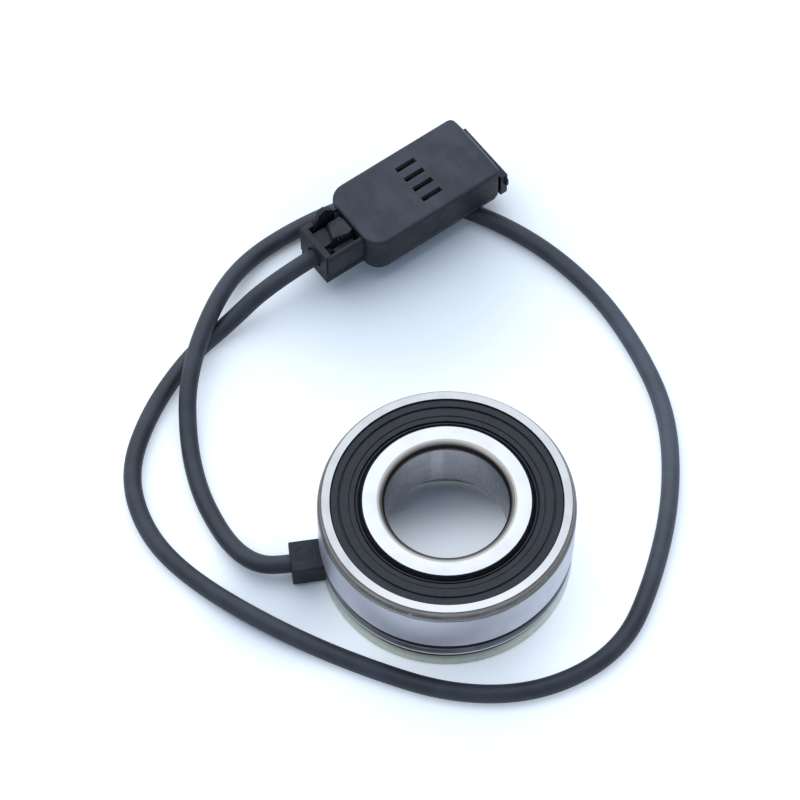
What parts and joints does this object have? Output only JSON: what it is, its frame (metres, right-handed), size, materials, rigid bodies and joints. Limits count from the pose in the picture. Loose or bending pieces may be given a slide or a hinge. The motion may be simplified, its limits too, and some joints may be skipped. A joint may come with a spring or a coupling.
{
  "type": "sensor bearing",
  "caption": "Sealed deep groove ball bearing with a speed sensor unit on one side, a radial cable exit, a free cable and a rectangular connector plug.",
  "frame": {"origin": "on the bearing's axis, in the flat underside of the sensor's steel cap", "axes": "+Z along the bearing's axis, from the sensor side to the seal side; the cable leaves the sensor along -X"},
  "size_m": [0.1157, 0.1338, 0.022],
  "materials": {
    "ring_steel": "ground hardened bearing steel, fine turned marks on the faces",
    "ball_steel": "polished bearing steel",
    "cage_steel": "pressed low carbon steel",
    "stiffener_steel": "pressed sheet steel",
    "seal_rubber": "matt black nitrile rubber",
    "cap_zinc": "zinc plated and passivated pressed sheet steel",
    "retainer_steel": "dark pressed steel",
    "carrier_steel": "pressed sheet steel",
    "magnet_compound": "rubber filled with magnetised ferrite",
    "sensor_plastic": "black glass filled nylon, lightly textured",
    "board_laminate": "green solder mask on glass laminate",
    "potting": "black potting resin",
    "chip_plastic": "black moulding compound",
    "cable_jacket": "matt black cable jacket",
    "core_insulation": "core insulation",
    "plug_plastic": "black moulded plastic with a fine texture",
    "insert_plastic": "black moulded plastic, smoother and darker than the shells",
    "contact_metal": "tinned brass"
  },
  "bodies": {
    "stator": {"outer_ring": "ring_steel", "seal_stiffener": "stiffener_steel", "seal_rubber": "seal_rubber", "sensor_body": "sensor_plastic", "sensor_cap": "cap_zinc", "retaining_ring": "retainer_steel", "circuit_board": "board_laminate", "potting_resin": "potting", "signal_chip": "chip_plastic", "board_components": "chip_plastic", "hall_sensor_1": "chip_plastic", "hall_sensor_2": "chip_plastic", "cable_exit_block": "sensor_plastic", "cable_root": "cable_jacket", "cable_cores": "core_insulation", "sensor_cable": "cable_jacket", "plug_cover": "plug_plastic", "plug_base": "plug_plastic", "cable_clamp": "plug_plastic", "cable_tail": "cable_jacket", "contact_carrier": "insert_plastic", "terminals": "contact_metal", "plug_cores": "core_insulation", "terminal_lock": "insert_plastic"},
    "rotor": {"inner_ring": "ring_steel", "impulse_ring_carrier": "carrier_steel", "magnet_ring": "magnet_compound"},
    "cage": {"cage_upper": "cage_steel", "cage_lower": "cage_steel", "cage_rivets": "cage_steel"},
    "ball_1": {"ball_1": "ball_steel"},
    "ball_2": {"ball_2": "ball_steel"},
    "ball_3": {"ball_3": "ball_steel"},
    "ball_4": {"ball_4": "ball_steel"},
    "ball_5": {"ball_5": "ball_steel"},
    "ball_6": {"ball_6": "ball_steel"},
    "ball_7": {"ball_7": "ball_steel"},
    "ball_8": {"ball_8": "ball_steel"},
    "ball_9": {"ball_9": "ball_steel"}
  },
  "joints": [
    {"name": "rotor_spin", "type": "hinge", "parent": "stator", "child": "rotor", "pos_m": [0, 0, 0.0145], "axis": [0, 0, 1], "continuous": true},
    {"name": "cage_spin", "type": "hinge", "parent": "stator", "child": "cage", "pos_m": [0, 0, 0.0145], "axis": [0, 0, 1], "continuous": true},
    {"name": "ball_1_roll", "type": "hinge", "parent": "cage", "child": "ball_1", "pos_m": [0.01925, 0, 0.0145], "axis": [0, 0, 1], "continuous": true},
    {"name": "ball_2_roll", "type": "hinge", "parent": "cage", "child": "ball_2", "pos_m": [0.01475, 0.01237, 0.0145], "axis": [0, 0, 1], "continuous": true},
    {"name": "ball_3_roll", "type": "hinge", "parent": "cage", "child": "ball_3", "pos_m": [0.00334, 0.01896, 0.0145], "axis": [0, 0, 1], "continuous": true},
    {"name": "ball_4_roll", "type": "hinge", "parent": "cage", "child": "ball_4", "pos_m": [-0.00962, 0.01667, 0.0145], "axis": [0, 0, 1], "continuous": true},
    {"name": "ball_5_roll", "type": "hinge", "parent": "cage", "child": "ball_5", "pos_m": [-0.01809, 0.00658, 0.0145], "axis": [0, 0, 1], "continuous": true},
    {"name": "ball_6_roll", "type": "hinge", "parent": "cage", "child": "ball_6", "pos_m": [-0.01809, -0.00658, 0.0145], "axis": [0, 0, 1], "continuous": true},
    {"name": "ball_7_roll", "type": "hinge", "parent": "cage", "child": "ball_7", "pos_m": [-0.00962, -0.01667, 0.0145], "axis": [0, 0, 1], "continuous": true},
    {"name": "ball_8_roll", "type": "hinge", "parent": "cage", "child": "ball_8", "pos_m": [0.00334, -0.01896, 0.0145], "axis": [0, 0, 1], "continuous": true},
    {"name": "ball_9_roll", "type": "hinge", "parent": "cage", "child": "ball_9", "pos_m": [0.01475, -0.01237, 0.0145], "axis": [0, 0, 1], "continuous": true}
  ],
  "couplings": [
    {"joint": "cage_spin", "follows": "rotor_spin", "ratio": 0.39691},
    {"joint": "ball_1_roll", "follows": "rotor_spin", "ratio": -2.322},
    {"joint": "ball_2_roll", "follows": "rotor_spin", "ratio": -2.322},
    {"joint": "ball_3_roll", "follows": "rotor_spin", "ratio": -2.322},
    {"joint": "ball_4_roll", "follows": "rotor_spin", "ratio": -2.322},
    {"joint": "ball_5_roll", "follows": "rotor_spin", "ratio": -2.322},
    {"joint": "ball_6_roll", "follows": "rotor_spin", "ratio": -2.322},
    {"joint": "ball_7_roll", "follows": "rotor_spin", "ratio": -2.322},
    {"joint": "ball_8_roll", "follows": "rotor_spin", "ratio": -2.322},
    {"joint": "ball_9_roll", "follows": "rotor_spin", "ratio": -2.322}
  ]
}
